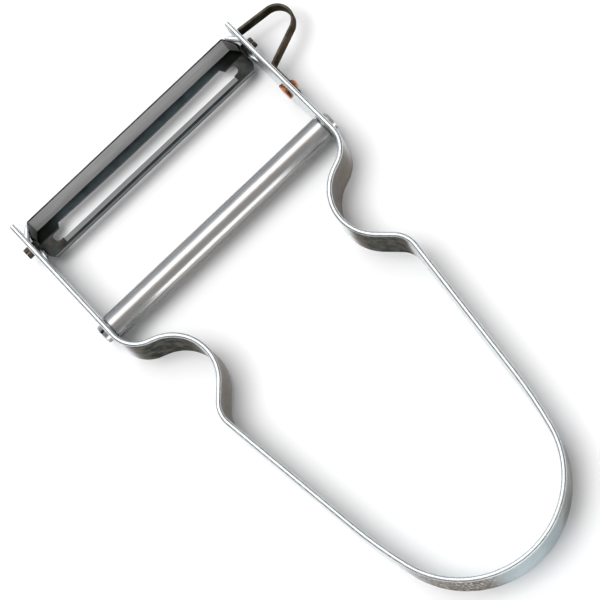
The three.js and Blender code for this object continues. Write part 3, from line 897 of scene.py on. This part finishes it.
# The crossbar
def crossbar():
    """A rolled tube with an open seam, necked through the arms, its left end slit."""
    shoulder = ARM_INNER - BAR_END_GAP
    end = ARM_OUTER + NECK_PROUD
    half = [(0, BAR_DIAMETER / 2), (shoulder - BAR_END_LENGTH, BAR_DIAMETER / 2)]
    half += [(shoulder - inset, BAR_DIAMETER / 2 - drop) for inset, drop in BAR_END_ROUND]
    half += [(shoulder, NECK_DIAMETER / 2)]
    half += [(end - inset, NECK_DIAMETER / 2 - drop) for inset, drop in NECK_END_ROUND]
    other_half = [(-x, r) for x, r in reversed(half[1:])]
    rows = []
    for x, r in other_half + half:
        width = NECK_SPLIT if abs(x) > shoulder else SEAM_WIDTH
        gap = width / BAR_DIAMETER
        start = math.radians(SEAM_ANGLE) + gap
        sweep = 2 * math.pi - 2 * gap
        angles = [start + sweep * i / BAR_STEPS for i in range(BAR_STEPS + 1)]
        bore = max(BORE_RADIUS, r - BAR_WALL)
        outside = [r - SEAM_LIP] + [r] * (BAR_STEPS - 1) + [r - SEAM_LIP]
        outline = list(zip(angles, outside)) + [(a, bore) for a in reversed(angles)]
        rows.append([(x, BAR_Y - d * math.sin(a), BAR_HEIGHT + d * math.cos(a)) for a, d in outline])
    slit = block(
        "slit",
        (-end - CUT_MARGIN, BAR_Y - NECK_SPLIT / 2, BAR_HEIGHT),
        (-ARM_OUTER - NECK_SLIT_ROOT, BAR_Y + NECK_SPLIT / 2, BAR_HEIGHT + BAR_DIAMETER),
    )
    return boolean(loft("crossbar_visual", rows), slit, "DIFFERENCE")


# The eye remover and its rivet
def eye_remover():
    """A bent loop of thin strip outside the right arm."""
    path = BentPath(ARM_OUTER + EYE_STANDOFF, EYE_Y, EYE_LEG_HEADING).line(EYE_LEG, EYE_STEP)
    path.arc(EYE_TIP_RADIUS, EYE_RETURN_HEADING)
    x, _, heading, _ = path.stations[-1]
    flange_x = ARM_OUTER + EYE_THICKNESS / 2
    foot = EYE_FOOT_RADIUS * (1 - math.cos(math.radians(-90 - EYE_RETURN_HEADING)))
    run = (x - flange_x - foot) / -math.cos(heading)
    path.line(run, EYE_STEP).arc(EYE_FOOT_RADIUS, -90).line(EYE_FLANGE, EYE_STEP)
    low = MIDDLE_HEIGHT - EYE_HEIGHT / 2
    section = rounded_section(EYE_THICKNESS, low, low + EYE_HEIGHT, EYE_EDGE_ROUND, 4)
    loop = swept("eye_remover_visual", path.stations, [section] * len(path.stations))
    front = EYE_Y + EYE_THICKNESS / 2 - TENON_EASE
    tenon = block(
        "tenon",
        (ARM_INNER, EYE_Y - EYE_THICKNESS / 2, MIDDLE_HEIGHT - TENON_HEIGHT / 2),
        (ARM_OUTER + TENON_OVERLAP, front, MIDDLE_HEIGHT + TENON_HEIGHT / 2),
    )
    boolean(loop, tenon, "UNION")
    ends = ARM_OUTER - CUT_MARGIN, ARM_OUTER + EYE_THICKNESS + CUT_MARGIN
    hole = round_cut(RIVET_Y, MIDDLE_HEIGHT, RIVET_SHANK + FIT_CLEARANCE, *ends)
    return boolean(loop, hole, "DIFFERENCE")


def quarter(steps):
    """The angles of a quarter turn."""
    return [math.radians(90 * i / steps) for i in range(steps + 1)]


def rivet():
    """A turned rivet: a flat head inside the arm, a dome outside the flange."""
    head = ARM_INNER - RIVET_SEAT
    dome = ARM_OUTER + EYE_THICKNESS + RIVET_SEAT
    face = head - RIVET_HEAD["height"]
    shank = RIVET_SHANK / 2
    r_head = RIVET_HEAD["diameter"] / 2
    r_dome = RIVET_DOME["diameter"] / 2
    profile = [
        (face, RIVET_POINT),
        (face, RIVET_HEAD["flat_share"] * r_head),
        (face + RIVET_HEAD_CHAMFER["depth"], r_head - RIVET_HEAD_CHAMFER["width"]),
    ]
    start = face + RIVET_HEAD_ROUND["depth"]
    radius = RIVET_HEAD_ROUND["radius"]
    for a in quarter(RIVET_HEAD["steps"]):
        profile.append((start + radius * (1 - math.cos(a)), r_head - radius * (1 - math.sin(a))))
    profile += [(head, r_head - RIVET_EASE), (head, shank), (dome, shank), (dome, r_dome - RIVET_EASE)]
    for a in quarter(RIVET_DOME["steps"]):
        x = dome + RIVET_DOME["height"] * math.sin(a)
        profile.append((x, max(RIVET_POINT, r_dome * math.cos(a))))
    return turned("eye_remover_rivet_visual", profile, RIVET_Y, MIDDLE_HEIGHT, RIVET_SIDES)


# The studio and the camera
def paper_floor():
    """A plain pale floor."""
    w = FLOOR_HALF_WIDTH
    corners = [(x, y, FLOOR_LEVEL) for x, y in ((-w, -w), (w, -w), (w, w), (-w, w))]
    floor = made("floor", mesh_of("floor", corners, [(0, 1, 2, 3)]))
    if floor.data.polygons[0].normal.z < 0:
        floor.data.flip_normals()
    n = Nodes(bpy.data.materials.new("paper"))
    n.put("Base Color", n.mix(n.ramp(n.noise(n.place(), 20), 0.3, 0.7), *PAPER))
    n.put("Roughness", 1)
    n.put("Specular IOR Level", 0)
    floor.data.materials.append(n.owner)


def soft_light(name, toward, distance, width, height, radiance):
    """A soft box, with its sizes in metres, that looks at the object's middle from a direction."""
    data = bpy.data.lights.new(name, "AREA")
    data.shape = "RECTANGLE"
    data.size = width
    data.size_y = height
    data.energy = radiance * math.pi * width * height
    light = made(name, data)
    direction = Vector(toward).normalized()
    light.location = LIT_POINT + direction * distance
    light.rotation_euler = direction.to_track_quat("Z", "Y").to_euler()
    return light


def soft_lights():
    """A soft key light that the metal doesn't mirror, and two soft boxes that it does."""
    key = soft_light("key", (-0.27, 0.08, 0.96), distance=2.4, width=1.45, height=1.45, radiance=6.1)
    key.visible_glossy = False
    soft_light("front", (-0.03, 0.31, 0.95), distance=2.4, width=1.5, height=1.75, radiance=1.4)
    soft_light("rear", (0.0, -0.988, 0.156), distance=2.75, width=3.5, height=0.86, radiance=1.55)


def studio_world():
    """Grey surroundings, darker to the sides, with a light halo high in front and a white horizon."""
    world = bpy.data.worlds.new("studio")
    bpy.context.scene.world = world
    n = Nodes(world, "Background")
    toward = n.add("ShaderNodeTexCoord").outputs["Generated"]
    colour = n.mix(n.ramp(n.axis(toward, "Y"), 0.5, 0.9), *SKY_MIDDLE)
    colour = n.mix(n.ramp(n.absolute(n.axis(toward, "X")), 0.3, 0.75), colour, SKY_SIDES)
    colour = n.mix(n.ramp(n.dot(toward, HALO_TOWARD), 0.84, 0.97), colour, SKY_HALO)
    colour = n.mix(n.ramp(n.axis(toward, "Z"), 0.15, 0.08), colour, SKY_HORIZON)
    n.put("Color", colour)


def photo_camera():
    """The camera of the photo."""
    azimuth, tilt, roll = (math.radians(v) for v in (CAMERA_AZIMUTH, CAMERA_TILT, CAMERA_ROLL))
    back = Vector((math.sin(tilt) * math.sin(azimuth), -math.sin(tilt) * math.cos(azimuth), math.cos(tilt)))
    level_right = Vector((math.cos(azimuth), math.sin(azimuth), 0))
    level_up = back.cross(level_right)
    right = math.cos(roll) * level_right + math.sin(roll) * level_up
    up = -math.sin(roll) * level_right + math.cos(roll) * level_up
    data = bpy.data.cameras.new("photo_camera")
    data.sensor_width = SENSOR_WIDTH
    data.lens = PIXELS_PER_MM * CAMERA_DISTANCE / PHOTO_PIXELS * SENSOR_WIDTH
    data.clip_start, data.clip_end = CAMERA_CLIP
    camera = made("photo_camera", data)
    turn = Matrix((right, up, back)).transposed().to_4x4()
    camera.matrix_world = Matrix.Translation((CAMERA_LOOKS_AT + CAMERA_DISTANCE * back) * MM) @ turn
    bpy.context.scene.camera = camera


finished(handle_strip(), "handle_strip", "handle", aluminium())
finished(swivel_blade(), "swivel_blade", "blade", dark_steel(), BLADE_EDGE_BEVEL)
finished(crossbar(), "crossbar", "handle", bar_steel())
finished(eye_remover(), "eye_remover", "handle", eye_steel())
finished(rivet(), "eye_remover_rivet", "handle", copper())
paper_floor()
soft_lights()
studio_world()
photo_camera()
bpy.context.scene.view_settings.view_transform = "Standard"
